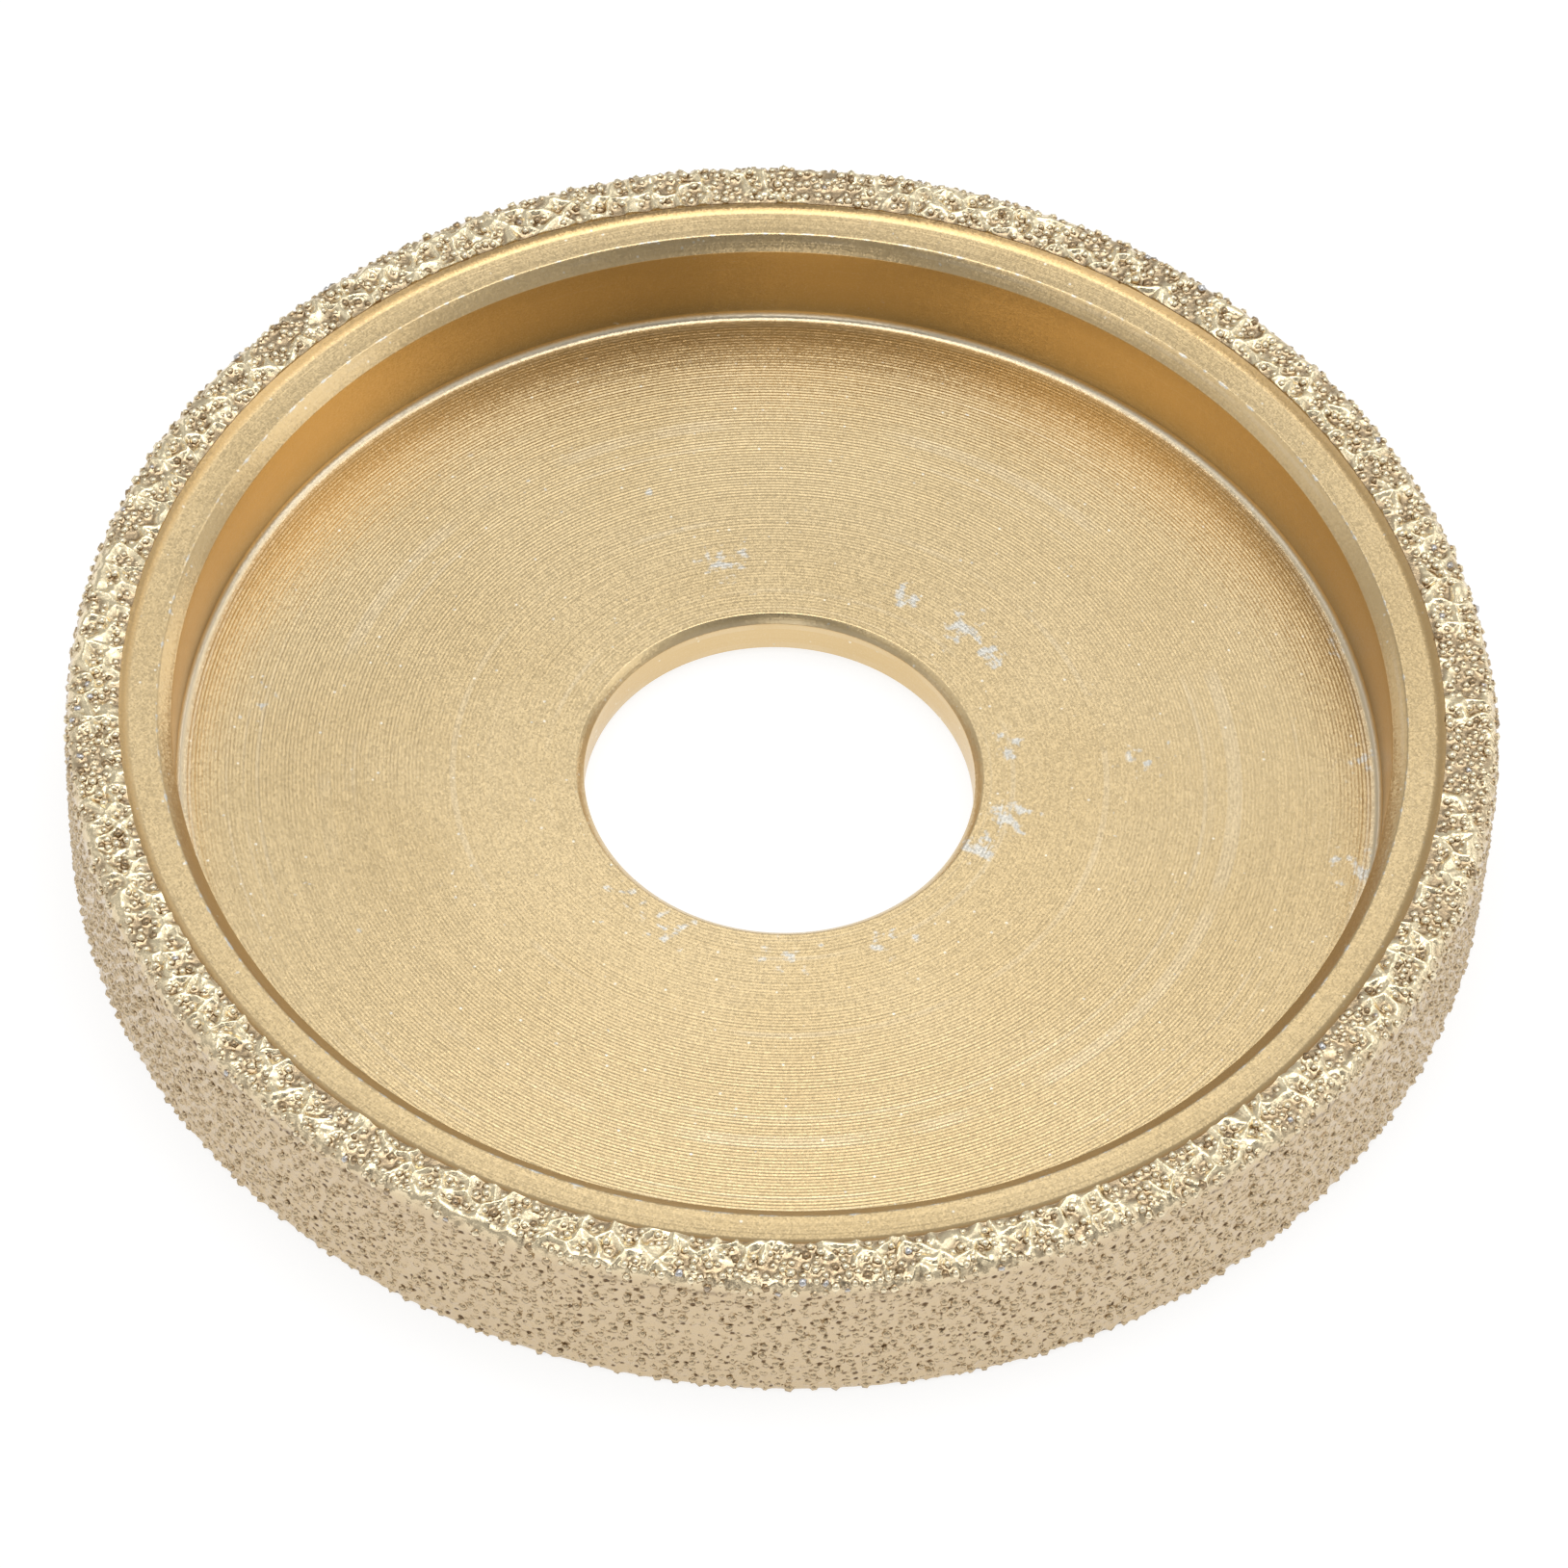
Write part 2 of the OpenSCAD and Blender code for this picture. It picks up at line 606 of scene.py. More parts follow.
@dataclass(frozen=True)
class LacqueredBraze(Finish):
    """Filler metal under the same lacquer: a painted highlight on the crests, darker lacquer and painted
    shade in the hollows, and painted shade in the pits.
    """

    # crest colour: painted highlight on the braze's ridges
    crest: Colour = (0.98, 0.84, 0.56, 1)
    # darker lacquer pooled in the hollows, with painted shade there; also the colour of a random darker grain
    hollow_shade: Colour = (0.52, 0.39, 0.235, 1)
    side: Colour = (0.64, 0.50, 0.32, 1)
    # painted shade in the side's pits and in a band under the corner
    pit: Colour = (0.15, 0.088, 0.038, 1)
    roughness: float = 0.24
    grain: float = 0.25
    coat: float = 0.35

    def dress(self, r: Recipe) -> None:
        """Colour the braze by its height, with a painted highlight on the crests and painted shade in the
        hollows, and its pits dark with painted shade.

        Args:
            r: The new material.
        """
        # by height: painted highlight on the crests, darker lacquer and painted shade in the hollows
        tone = r.mix(r.ramp(r.attribute("rise"), -0.07, 0.10), self.hollow_shade, self.crest)
        tone = r.mix(r.attribute("side"), tone, self.side)
        tone = r.mix(r.times(r.ramp(r.noise(6.0, 3.0), 0.58, 0.72), self.grain), tone, self.hollow_shade)
        # painted shade from the pit layer
        tone = r.mix(r.ramp(r.attribute("pit"), 0.22, 0.60), tone, self.pit)
        rough = r.math("ADD", self.roughness - 0.04, r.times(r.noise(3.0, 3.0), 0.12))
        r.fill(base_color=tone, metallic=1.0, roughness=rough, coat_weight=self.coat, coat_roughness=0.12)
        r.fill(normal=r.bump(r.noise(5.0, 4.0), 0.03, r.flakes(0.07, 0.10)))


@dataclass(frozen=True)
class CrystalFinish(Finish):
    """Blocky crystals with their corners rounded by lacquer; some have lost it and show dark or silver."""

    coated: Colour = (0.96, 0.83, 0.58, 1)
    # dark foot colour: painted shade where each crystal meets the braze, with darker lacquer there
    rim: Colour = (0.43, 0.30, 0.16, 1)
    buried: Colour = (0.64, 0.50, 0.32, 1)
    brown: Colour = (0.40, 0.29, 0.17, 1)
    silver: Colour = (0.64, 0.63, 0.62, 1)
    roughness: float = 0.20

    def dress(self, r: Recipe) -> None:
        """Colour each crystal by its luck, its height and its band, with painted shade low on each crystal
        where it meets the braze.

        Args:
            r: The new material.
        """
        luck = r.attribute("luck")
        tone = r.mix(r.ramp(luck, 0.88, 0.89), self.coated, self.brown)
        tone = r.mix(r.ramp(luck, 0.95, 0.96), tone, self.silver)
        # painted shade: the low part of each crystal, by its stand, darkens towards the foot colour
        tone = r.mix(r.ramp(r.attribute("stand"), -0.04, 0.10), self.rim, tone)
        tone = r.mix(r.attribute("side"), tone, self.buried)
        rough = r.math("ADD", self.roughness, r.times(r.noise(5.0), 0.10))
        r.fill(base_color=tone, metallic=0.9, roughness=rough)


# ---- the turned steel


@dataclass(frozen=True)
class WornSpot:
    """A place where the lacquer has rubbed off the recess's floor.

    The bearing is in degrees from +X towards +Y, the radius and size are in millimetres, and the
    greater the depth, the more steel shows.
    """

    bearing: float
    radius: float
    size: float
    depth: float = 1.0


@dataclass
class TurnedCore:
    """The steel cup: bore, web with turning grooves, wall, chamfer, land, ramp and the abrasive's seat."""

    sizes: WheelSizes
    finish: GoldLacquer = GoldLacquer()
    steps: int = 256
    front_groove: float = 0.21
    back_groove: float = 0.5
    groove_depth: float = 0.0085
    light_cut: float = 0.3
    light_cut_r: float = 15.0
    cut_grows: float = 8.0
    # painted shade: over the land, at the wall's foot, and in the groove roots towards one bearing
    land_shade: float = 0.5
    foot_shade: float = 3.0
    foot_shade_h: float = 3.5
    groove_shade_bearing: float = 278.0
    edge_break: float = 0.05
    ramp_steps: int = 8
    ramp_bend: float = 1.7
    # painted shade of the recess, as shares on the chamfer, the ramp and the bore
    chamfer_shade: float = 0.25
    ramp_shade: float = 0.75
    bore_shade: float = 0.25
    edge_band: float = 0.16
    edge_wear: float = 0.42
    spot_wear: float = 0.63
    # painted highlight along the fillet: where it peaks and how far it reaches
    polish_at: float = 0.3
    polish_reach: float = 0.45
    worn_spots: tuple[WornSpot, ...] = (
        WornSpot(47, 15.0, 1.7),
        WornSpot(38, 14.8, 1.2),
        WornSpot(64, 14.6, 1.4, 0.85),
        WornSpot(104, 15.4, 1.9, 0.9),
        WornSpot(12, 13.2, 1.2),
        WornSpot(350, 13.2, 1.7),
        WornSpot(338, 12.2, 1.5),
        WornSpot(300, 13.0, 1.7, 0.66),
        WornSpot(272, 13.0, 2.4, 0.68),
        WornSpot(243, 12.9, 2.0, 0.68),
        WornSpot(228, 12.3, 1.6, 0.68),
        WornSpot(6, 20.6, 2.0, 0.65),
        WornSpot(174, 29.4, 1.2, 0.7),
        WornSpot(120, 26.2, 0.5, 1.3),
        WornSpot(113, 21.9, 0.5, 1.3),
        WornSpot(5, 33.0, 1.6, 0.9),
        WornSpot(352, 33.0, 1.8, 0.9),
        WornSpot(20, 33.2, 1.4, 0.8),
    )

    def broken_edge(self, corner: Point, before: Point, after: Point) -> list[Point]:
        """Round a sharp corner of the section a little.

        Args:
            corner: The corner.
            before: The section's point before it.
            after: The section's point after it.

        Returns:
            Three points that take the corner's place.
        """
        a, b = (part_way(corner, point, self.edge_break) for point in (before, after))
        middle = tuple((p + q) / 4 + c / 2 for p, q, c in zip(a, b, corner))
        return [a, middle, b]

    def grooves(self, start: Point, stop_r: float, pitch: float) -> list[Point]:
        """Turning grooves across a flat face: crest and root, from one radius to another.

        Args:
            start: The first crest, as radius and height.
            stop_r: Radius where the grooves end.
            pitch: Width of one groove.

        Returns:
            The points, crest and root in turn.
        """
        count = max(1, round(abs(stop_r - start[0]) / pitch))
        step = (stop_r - start[0]) / count
        inward = -1 if start[1] > 0 else 1
        rng = np.random.default_rng(7)
        made = []
        for i in range(count):
            crest_r = start[0] + step * i
            depth = self.groove_depth * rng.uniform(0.8, 1.2) * self.bite(crest_r)
            made += [(crest_r, start[1]), (crest_r + step / 2, start[1] + inward * depth)]
        return made

    def bite(self, radius: Array | float) -> Array | float:
        """How deep the turning tool cut at a radius: lightly round the bore, fully further out."""
        share = np.clip((radius - self.light_cut_r) / self.cut_grows, 0, 1)
        return self.light_cut + (1 - self.light_cut) * share

    def section(self) -> list[Point]:
        """The whole turned section, from the bore out over the front and in along the back.

        Returns:
            The points, in order.
        """
        s = self.sizes
        bore_edge = s.bore_r + s.bore_chamfer
        floor_r = s.wall_r - s.wall_draft - s.recess_fillet
        wall_top = s.land_z - s.chamfer_h
        bore_low = (s.bore_r, s.bore_chamfer)
        bore_high = (s.bore_r, s.web_t - s.bore_chamfer)
        bore_front = (bore_edge, s.web_t)
        bore_back = (bore_edge, 0.0)
        points = self.broken_edge(bore_low, bore_back, bore_high)
        points += self.broken_edge(bore_high, bore_low, bore_front)
        points += self.broken_edge(bore_front, bore_high, (floor_r, s.web_t))
        points += self.grooves((bore_edge + 0.1, s.web_t), floor_r, self.front_groove)
        points += arc((floor_r, s.web_t + s.recess_fillet), s.recess_fillet, -90, 0, 12)
        wall_foot = (s.wall_r - s.wall_draft, s.web_t + s.recess_fillet)
        rise = wall_top - wall_foot[1]
        for share in (0.25, 0.5, 0.75):
            points.append((wall_foot[0] + s.wall_draft * share, wall_foot[1] + rise * share))
        edge = (s.edge_r, s.land_z)
        points += self.broken_edge((s.wall_r, wall_top), wall_foot, edge)
        points.append(part_way(edge, (s.wall_r, wall_top), self.edge_band))
        points += self.broken_edge(edge, (s.wall_r, wall_top), (s.land_r, s.land_z))
        points.append(part_way(edge, (s.land_r, s.land_z), self.edge_band))
        for share in (i / self.ramp_steps for i in range(self.ramp_steps + 1)):
            points.append((s.land_r + s.ramp_w * share, s.land_z + s.ramp_h * share**self.ramp_bend))
        points += arc((s.core_r - s.face_corner_r, s.seat_z - s.face_corner_r), s.face_corner_r, 90, 0, 4)
        points += arc((s.core_r - s.back_corner_r, s.back_corner_r), s.back_corner_r, 0, -90, 6)
        points += self.grooves((s.core_r - s.back_corner_r - 0.4, 0.0), bore_edge + 0.1, self.back_groove)
        points += self.broken_edge(bore_back, (floor_r, 0.0), bore_low)
        return points

    def wear(self, co: Array) -> Array:
        """How far the lacquer is rubbed at each vertex, from 0 to 1.

        Args:
            co: The vertices.

        Returns:
            The wear.
        """
        s = self.sizes
        radius, _ = polar(co)
        amount = np.zeros(len(co))
        for spot in self.worn_spots:
            angle = math.radians(spot.bearing)
            x, y = spot.radius * math.cos(angle), spot.radius * math.sin(angle)
            reach = ((co[:, 0] - x) ** 2 + (co[:, 1] - y) ** 2) / spot.size**2
            amount = np.maximum(amount, self.spot_wear * spot.depth * np.exp(-reach))
        amount = np.where(np.abs(co[:, 2] - s.web_t) < 0.1, amount, 0.0)
        edge = (np.abs(radius - s.edge_r) < 0.6 * self.edge_band) & (co[:, 2] > s.land_z - 0.2)
        return np.where(edge, self.edge_wear, amount)

    def recess_shade(self, co: Array) -> Array:
        """Painted shade and reflection of gold in gold: deeper gold fully on the recess's wall, less on the
        chamfer, the ramp and the bore.

        Args:
            co: The vertices.

        Returns:
            The share of deeper gold, as painted shade, from 0 to 1.
        """
        s = self.sizes
        radius, _ = polar(co)
        above = np.clip((co[:, 2] - s.web_t) / s.recess_fillet, 0, 1)
        below = co[:, 2] < s.land_z - s.chamfer_h + 0.02
        share = above * below * (radius < s.wall_r + 0.02)
        chamfer = ~below & (co[:, 2] > s.web_t + 1) & (radius < s.edge_r - 0.02)
        share = np.where(chamfer, self.chamfer_shade, share)
        ramp = np.clip((radius - s.land_r) / s.ramp_w * 2, 0, 1) * (co[:, 2] > s.land_z - 0.01)
        share = np.maximum(share, ramp * self.ramp_shade)
        return np.where(radius < s.bore_r + 0.02, self.bore_shade, share)

    def polish(self, co: Array) -> Array:
        """Painted highlight, only along the fillet at the foot of the recess's wall.

        Args:
            co: The vertices.

        Returns:
            The painted highlight, from 0 to 1.
        """
        s = self.sizes
        radius, _ = polar(co)
        height = (co[:, 2] - s.web_t) / s.recess_fillet
        band = np.clip(1 - np.abs(height - self.polish_at) / self.polish_reach, 0, 1)
        return band * (radius < s.wall_r) * (radius > s.wall_r - 2 * s.recess_fillet)

    def groove_shade(self, co: Array) -> Array:
        """Painted shade: each turning groove's root darker, most on the side towards one bearing and where
        the tool cut deeper; the land and the foot of the recess's wall darker too.

        Args:
            co: The vertices.

        Returns:
            The painted shade; above 1 it is the deepest tone.
        """
        s = self.sizes
        radius, angle = polar(co)
        height = co[:, 2]
        front = (height < s.web_t - 0.2 * self.groove_depth) & (height > s.web_t - 0.1)
        back = (height > 0.2 * self.groove_depth) & (height < 0.1)
        flat = radius > s.bore_r + s.bore_chamfer + 0.05
        inside = radius < s.core_r - s.back_corner_r
        # painted shade: the groove roots show darkest on the side towards the given bearing
        side = 0.55 + 0.45 * np.cos(angle - math.radians(self.groove_shade_bearing))
        marks = ((front | back) & flat & inside) * side * self.bite(radius)
        # painted shade over the land
        marks = np.where((height > s.land_z - 0.01) & inside, self.land_shade, marks)
        # painted shade at the foot of the recess's wall
        rise = (height - s.web_t) / self.foot_shade_h
        foot = np.clip(1 - rise, 0, 1) ** 2 * (rise > 0.13) * (radius < s.edge_r)
        return np.maximum(marks, foot * self.foot_shade)

    def facet_grooves(self, mesh: bpy.types.Mesh) -> None:
        """Shade the two turned faces flat, so that each side of a groove keeps its own slope.

        Args:
            mesh: The cup's mesh.
        """
        middles = np.empty(len(mesh.polygons) * 3, np.float32)
        mesh.polygons.foreach_get("center", middles)
        middles = middles.reshape(-1, 3) / MM
        smooth = np.ones(len(mesh.polygons), bool)
        mesh.polygons.foreach_get("use_smooth", smooth)
        height = middles[:, 2]
        flat = np.minimum(np.abs(height - self.sizes.web_t), np.abs(height)) < 2 * self.groove_depth
        mesh.polygons.foreach_set("use_smooth", smooth & ~flat)

    def build(self) -> None:
        """Turn the cup and dress it."""
        piece = lathe("steel_cup", self.section(), self.steps)
        co = vertex_array(piece.data)
        # painted layers: wall is the recess's painted shade, groove is painted shade in the groove roots,
        # over the land and at the wall's foot, and the fillet layer is a painted highlight
        layers = {"wear": self.wear, "groove": self.groove_shade, "wall": self.recess_shade, "polish": self.polish}
        for name, share in layers.items():
            paint(piece.data, name, share(co))
        bpy.ops.object.shade_smooth_by_angle(angle=math.radians(24))
        self.facet_grooves(piece.data)
        lacquer = self.finish.material("gold_lacquered_steel")
        finish_piece(piece, lacquer, "gold_lacquered_steel", "steel_core")


# ---- the abrasive


class Band(Enum):
    """Part of the rim that a crystal sits on, with the CAD node that it stands for."""

    FACE = "face_grit"
    SHOULDER = "shoulder_grit"
    SIDE = "side_grit"


@dataclass
class RimPath:
    """The braze's mean surface as one developed strip: over the face, round the corner, down the side."""

    sizes: WheelSizes

    def __post_init__(self) -> None:
        """Work out the lengths of the strip's stretches."""
        s = self.sizes
        self.corner_r = s.face_corner_r + s.braze_r - s.core_r
        self.face_centre = (s.braze_r - self.corner_r, s.braze_z - self.corner_r)
        self.back_r = s.back_corner_r + s.braze_r - s.core_r
        self.back_centre = (s.braze_r - self.back_r, s.back_corner_r)
        self.back_wrap = math.asin(s.back_corner_r / self.back_r)
        self.face_len = self.face_centre[0] - s.seat_r
        self.corner_len = self.corner_r * math.pi / 2
        self.side_len = self.face_centre[1] - self.back_centre[1]
        self.back_len = self.back_r * self.back_wrap
        self.length = self.face_len + self.corner_len + self.side_len + self.back_len

    def at(self, along: Array) -> tuple[Array, Array, Array, Array]:
        """Radius, height and outward normal at distances along the strip.

        Args:
            along: Distances from the abrasive's inner edge, in millimetres.

        Returns:
            Radius, height, and the normal's radial and upward parts.
        """
        a1 = self.face_len
        a2 = a1 + self.corner_len
        a3 = a2 + self.side_len
        turn = np.clip((along - a1) / self.corner_r, 0, math.pi / 2)
        back = np.clip((along - a3) / self.back_r, 0, None)
        face_r, face_z = self.face_centre
        back_r, back_z = self.back_centre
        radius = np.where(along < a1, self.sizes.seat_r + along, face_r + self.corner_r * np.sin(turn))
        height = np.where(along < a1, self.sizes.braze_z, face_z + self.corner_r * np.cos(turn))
        height = np.where(along > a2, face_z - (along - a2), height)
        radius = np.where(along > a3, back_r + self.back_r * np.cos(back), radius)
        height = np.where(along > a3, back_z - self.back_r * np.sin(back), height)
        out = np.where(along > a3, np.cos(back), np.sin(turn))
        up = np.where(along > a3, -np.sin(back), np.cos(turn))
        return radius, height, out, up

    def band(self, along: float) -> Band:
        """The band that a distance along the strip belongs to.

        Args:
            along: The distance.

        Returns:
            The band.
        """
        if along < self.face_len:
            return Band.FACE
        if along < self.face_len + self.corner_len:
            return Band.SHOULDER
        return Band.SIDE


def blend(grid: Array, i: Array, j: Array, down: Array, right: Array) -> Array:
    """Read a grid between its cells, closed round the turn.

    Args:
        grid: The values.
        i: Row of each place.
        j: Column of each place.
        down: How far the place lies towards the next row, from 0 to 1.
        right: How far it lies towards the next column.

    Returns:
        The blended values.
    """
    j0, j1 = j % grid.shape[1], (j + 1) % grid.shape[1]
    near = grid[i, j0] * (1 - right) + grid[i, j1] * right
    far = grid[i + 1, j0] * (1 - right) + grid[i + 1, j1] * right
    return near * (1 - down) + far * down


@dataclass
class GritLayout:
    """Where every crystal sits on the developed strip, and the braze's relief round them.

    Over the face the braze stands up in smooth winding ridges, and the crystals crowd in the pockets
    between them. Down the side it is a nearly even skin, with a low swelling over each crystal and
    small pits, painted dark as shade, and a band of painted shadow just under the corner.
    """

    path: RimPath
    seed: int = 11
    tries: int = 60000
    face_width: tuple[float, float] = (0.34, 0.48)
    side_width: tuple[float, float] = (0.32, 0.46)
    side_clear: float = 1.35
    cell: float = 0.06
    pocket: float = 1.40
    ridge_width: float = 0.46
    ridge_rise: float = 0.27
    face_sink: float = 0.07
    face_climb: float = 0.08
    face_clear: float = 1.0
    side_lift: float = 0.08
    side_climb: float = 0.07
    climb_reach: float = 0.13
    climb_core: float = 0.32
    stamp_reach: float = 0.5
    free_below: float = 0.34
    pit_gap: float = 0.52
    pit_depth: float = 0.13
    pit_sizes: tuple[Point, ...] = ((0.08, 0.17), (0.08, 0.13), (0.35, 1.0))
    shadow_at: float = 0.3
    shadow_width: float = 0.36
    along: Array = field(init=False)
    around: Array = field(init=False)
    width: Array = field(init=False)
    rise: Array = field(init=False)
    shade: Array = field(init=False)

    def __post_init__(self) -> None:
        """Raise the ridges, scatter the crystals between them and finish the relief."""
        self.girth = TURN * self.path.sizes.braze_r
        self.rows = int(self.path.length / self.cell) + 2
        self.columns = int(round(self.girth / self.cell))
        self.rng = np.random.default_rng(self.seed)
        self.top = self.path.face_len + self.path.corner_len
        at = np.arange(self.rows) * self.cell
        share = np.clip((at - self.path.face_len) / (self.path.corner_len * 1.2), 0, 1)
        self.on_side = np.repeat(share[:, None], self.columns, axis=1)
        self.ridges = self.wind_ridges()
        self.scatter()
        self.flow()

    def cloud(self, size: float) -> Array:
        """A smooth random field over the whole strip, closed round the turn.

        Args:
            size: Width of its hills in millimetres.

        Returns:
            Values between 0 and 1, one for each cell of the relief.
        """
        many = max(4, int(round(self.girth / size)))
        deep = int(self.path.length / size) + 3
        values = self.rng.random((deep, many))
        a = np.arange(self.rows) * self.cell / size
        u = np.arange(self.columns) / self.columns * many
        i, j = a.astype(int), u.astype(int)
        fa, fu = a - i, u - j
        fa, fu = fa * fa * (3 - 2 * fa), fu * fu * (3 - 2 * fu)
        return blend(values, i[:, None], j[None], fa[:, None], fu[None])

    def throw(self, count: int, low: float, high: float) -> Array:
        """Random places on the strip between two distances along it."""
        return self.rng.uniform((low, 0), (high, self.girth), (count, 2))

    def spaced(self, throws: Array, reach: Array) -> Array:
        """Keep the throws that fall clear of the ones kept before them.

        Args:
            throws: Places along and round the strip.
            reach: The clear radius that each one asks for.

        Returns:
            Indices of the kept throws.
        """
        size = 2 * float(reach.max())
        columns = int(self.girth / size)
        grid: dict[tuple[int, int], list[tuple[float, float, float]]] = {}
        kept = []
        for index, ((a, u), own) in enumerate(zip(throws.tolist(), reach.tolist())):
            i, j = int(a / size), int(u / self.girth * columns)
            rivals = [
                rival
                for di in (-1, 0, 1)
                for dj in (-1, 0, 1)
                for rival in grid.get((i + di, (j + dj) % columns), ())
            ]
            if all(math.hypot(a - b, self.span(u, v)) >= own + other for b, v, other in rivals):
                grid.setdefault((i, j), []).append((a, u, own))
                kept.append(index)
        return np.array(kept)

    def span(self, first: float, second: float) -> float:
        """Shorter way round between two places."""
        gap = abs(first - second)
        return min(gap, self.girth - gap)

    def window(self, a: float, u: float, reach: float) -> tuple[Array, ...]:
        """Cells near a place, with their offsets from it in millimetres.

        Args:
            a: Distance along the strip.
            u: Distance round it.
            reach: How far the cells reach from the place.

        Returns:
            Rows, columns, and the offsets along and round the strip.
        """
        many = int(reach / self.cell) + 1
        steps = np.arange(-many, many + 1)
        i = int(round(a / self.cell)) + steps
        j = int(round(u / self.cell)) + steps
        i = i[(i >= 0) & (i < self.rows)]
        return i, j % self.columns, i * self.cell - a, j * self.cell - u

    def wind_ridges(self) -> Array:
        """Ridges between pockets, on the face and the corner: the bounds between scattered middles.

        Returns:
            Height of the ridges, from 0 to 1, for each cell.
        """
        throws = self.throw(6000, -0.5, self.top + 0.8)
        middles = throws[self.spaced(throws, np.full(len(throws), self.pocket * 0.42))]
        nearest = np.full((self.rows, self.columns), 9.0)
        second = nearest.copy()
        bend_a = (self.cloud(0.9) - 0.5) * 0.7
        bend_u = (self.cloud(0.9) - 0.5) * 0.7
        for a, u in middles.tolist():
            i, j, da, du = self.window(a, u, 2.2)
            block = np.ix_(i, j)
            far = np.hypot(da[:, None] + bend_a[block], du[None] + bend_u[block])
            second[block] = np.minimum(second[block], np.maximum(nearest[block], far))
            nearest[block] = np.minimum(nearest[block], far)
        ridge = np.exp(-(((second - nearest) / self.ridge_width) ** 2))
        broken = np.clip((self.cloud(1.7) - 0.24) * 4.5, 0, 1)
        return ridge * broken * (1 - self.on_side)

    def scatter(self) -> None:
        """Throw the crystals: crowded in the face's pockets, clear of its ridges, and apart on the side."""
        throws = self.throw(self.tries, 0.2, self.path.length - 0.1)
        on_side = throws[:, 0] > self.path.face_len + 0.6 * self.path.corner_len
        share = self.rng.random(self.tries)
        (w0, w1), (v0, v1) = self.face_width, self.side_width
        width = np.where(on_side, v0 + (v1 - v0) * share, w0 + (w1 - w0) * share)
        i = (throws[:, 0] / self.cell).astype(int)
        j = (throws[:, 1] / self.cell).astype(int) % self.columns
        free = self.ridges[i, j] < self.free_below
        throws, width, on_side = throws[free], width[free], on_side[free]
        kept = self.spaced(throws, width * 0.5 * np.where(on_side, self.side_clear, self.face_clear))
        self.along, self.around, self.width = throws[kept, 0], throws[kept, 1], width[kept]
        LOG.info("%d crystals", len(kept))

    def stamp(self, places: Array, shape: Callable[..., Array]) -> Array:
        """Press one shape into the relief at every place, and keep the strongest wherever they overlap.

        Args:
            places: One row each: distance along and round the strip, then the shape's own numbers.
            shape: Gives the shape from the offsets along and round, and its own numbers.

        Returns:
            One value for each cell of the relief.
        """
        made = np.zeros((self.rows, self.columns))
        for a, u, *own in places.tolist():
            i, j, da, du = self.window(a, u, self.stamp_reach)
            block = np.ix_(i, j)
            made[block] = np.maximum(made[block], shape(da[:, None], du[None], *own))
        return made

    def flow(self) -> None:
        """Fill the relief: braze climbs round each crystal, and pits open in the side's skin. The pits and a
        band under the corner also get painted shade.
        """
        climb = self.stamp(
            np.stack([self.along, self.around, self.width], 1),
            lambda da, du, w: np.exp(
                -((np.clip(np.hypot(da, du) - w * self.climb_core, 0, None) / self.climb_reach) ** 2)
            ),
        )
        throws = self.throw(20000, self.path.face_len + 0.5, self.path.length - 0.1)
        kept = throws[self.spaced(throws, np.full(len(throws), self.pit_gap / 2))]
        wide, tall, depth = (self.rng.uniform(*ends, len(kept)) for ends in self.pit_sizes)
        pits = self.stamp(
            np.stack([*kept.T, wide, tall, depth], 1),
            lambda da, du, x, y, d: d * np.exp(-((da / y) ** 2) - (du / x) ** 2),
        )
        at = np.arange(self.rows) * self.cell - self.top
        # painted shadow: a band just under the corner, in soft patches
        under = np.exp(-(((at - self.shadow_at) / self.shadow_width) ** 2))[:, None]
        pits = np.maximum(pits * self.on_side, under * np.clip((self.cloud(0.9) - 0.5) * 1.6, 0, 0.27))
        side = self.on_side
        swell = self.cloud(0.8) - 0.5
        face = self.ridges * self.ridge_rise + climb * self.face_climb - self.face_sink + swell * 0.06
        skin = self.side_lift + climb * self.side_climb + swell * 0.05 - pits * self.pit_depth
        self.rise = face * (1 - side) + skin * side
        self.shade = np.clip(pits * 1.5, 0, 1) * side

    def sample(self, grid: Array, along: Array, around: Array) -> Array:
        """Read a grid of the strip at any place, blending between its cells.

        Args:
            grid: The grid.
            along: Distances along the strip.
            around: Distances round it.

        Returns:
            The values there.
        """
        a = np.clip(along / self.cell, 0, self.rows - 1.001)
        u = around / self.girth * self.columns
        i, j = np.floor(a).astype(int), np.floor(u).astype(int)
        return blend(grid, i, j, a - i, u - j)


